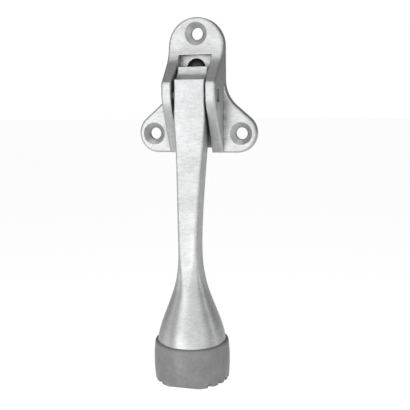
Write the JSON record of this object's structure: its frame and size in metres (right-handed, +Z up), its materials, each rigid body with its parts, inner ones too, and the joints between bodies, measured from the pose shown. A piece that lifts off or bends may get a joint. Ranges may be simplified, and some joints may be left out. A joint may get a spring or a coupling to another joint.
{
  "type": "floor door holder",
  "caption": "Kick-down lever door holder: cast bracket with screw ears, hinged flared lever and a ribbed rubber tip.",
  "frame": {"origin": "on the door's face, midway between the two lower screw holes", "axes": "+Z up the door, +Y into the door, +X to the right as seen from the room; the holder stands out towards -Y"},
  "size_m": [0.057, 0.0362, 0.1675],
  "materials": {
    "satin_casting": "satin, brushed lengthwise",
    "steel": "plain",
    "dark_steel": "oiled black",
    "rubber": "moulded, matt"
  },
  "bodies": {
    "bracket": {"mounting_bracket": "satin_casting", "pivot_pin": "steel", "detent_spring": "dark_steel", "spring_cap": "steel"},
    "button": {"detent_button": "dark_steel"},
    "lever": {"lever_arm": "satin_casting", "rubber_tip": "rubber", "tip_washer": "steel", "tip_screw": "steel"}
  },
  "joints": [
    {"name": "lever_hinge", "type": "hinge", "parent": "bracket", "child": "lever", "pos_m": [0, -0.0142, 0.0176], "axis": [-1, 0, 0], "range_deg": [0, 175]},
    {"name": "button_slide", "type": "slide", "parent": "bracket", "child": "button", "axis": [0, 1, 0], "range_m": [0, 0.0008], "stiffness_N_per_m": 2500, "springref_m": -0.0012, "deforming": ["detent_spring"]}
  ]
}
